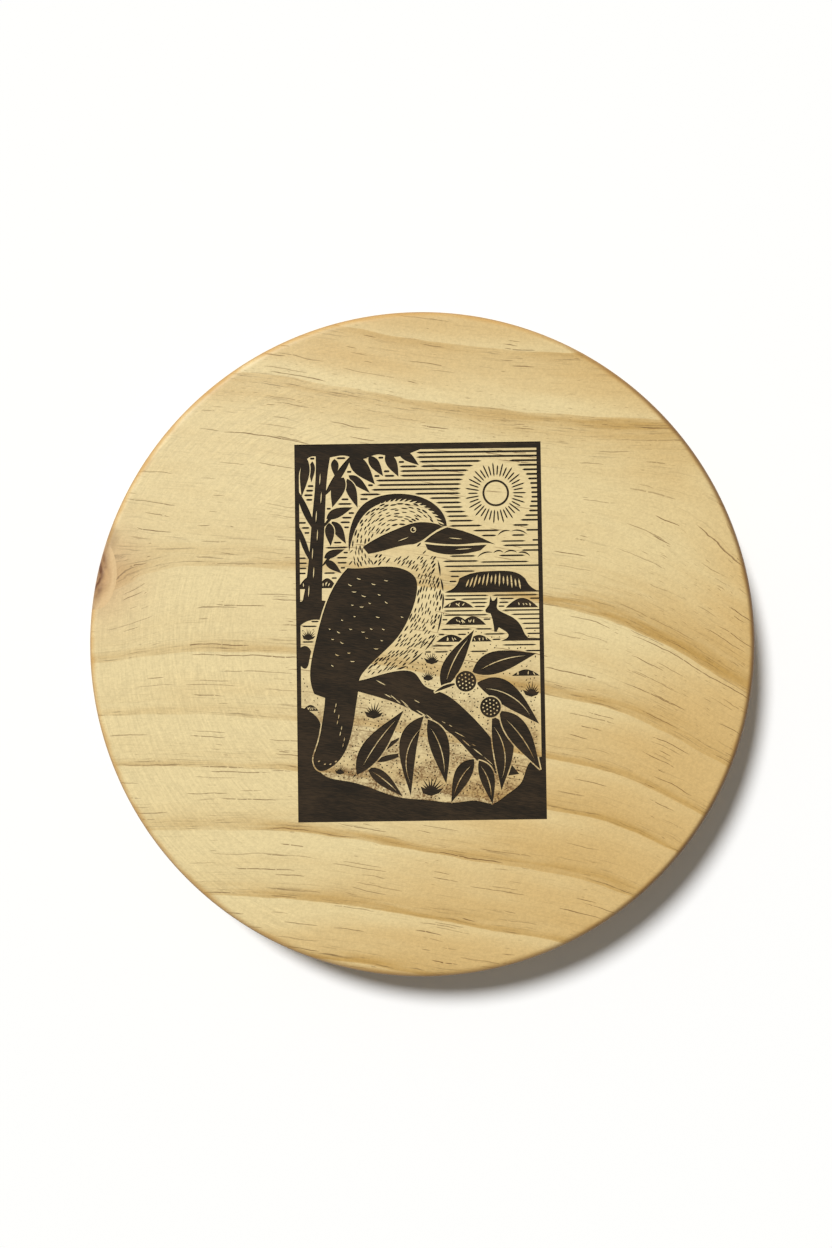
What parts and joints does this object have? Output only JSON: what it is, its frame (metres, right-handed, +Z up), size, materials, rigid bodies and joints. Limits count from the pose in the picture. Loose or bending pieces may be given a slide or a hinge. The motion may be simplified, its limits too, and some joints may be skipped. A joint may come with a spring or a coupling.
{
  "type": "laser-engraved round wooden board",
  "caption": "Round solid pine board with rounded edges and a rectangular woodcut picture of a perched bird laser-burnt into its face.",
  "frame": {"origin": "middle of the underside, on the surface that the board lies on", "axes": "+Z up out of the engraved face, +Y towards the top of the picture, +X to the picture's right"},
  "size_m": [0.2, 0.2, 0.018],
  "materials": {
    "pine": "pale yellow pine, flat-sawn, fine sanded, thin satin oil, short dark resin dashes, amber end grain on the rim",
    "knot": "tight brown knot wood with close rings, sanded flush",
    "char": "laser-burnt wood, matt brown-black, faint scan lines and fibre left in the floor of the cut"
  },
  "bodies": {
    "root": {"board": "pine", "edge_knot": "knot", "char_frame": "char", "char_seed_heads": "char", "char_leaves": "char", "char_branch": "char", "char_tree": "char", "char_tree_leaves": "char", "char_sun": "char", "char_clouds": "char", "char_hill": "char", "char_wallaby": "char", "char_bushes": "char", "char_bird_head": "char", "char_feathers": "char", "char_bird_wing": "char", "char_bird_tail": "char", "char_sky": "char", "char_plain": "char", "char_grass": "char", "char_specks": "char"}
  },
  "joints": []
}
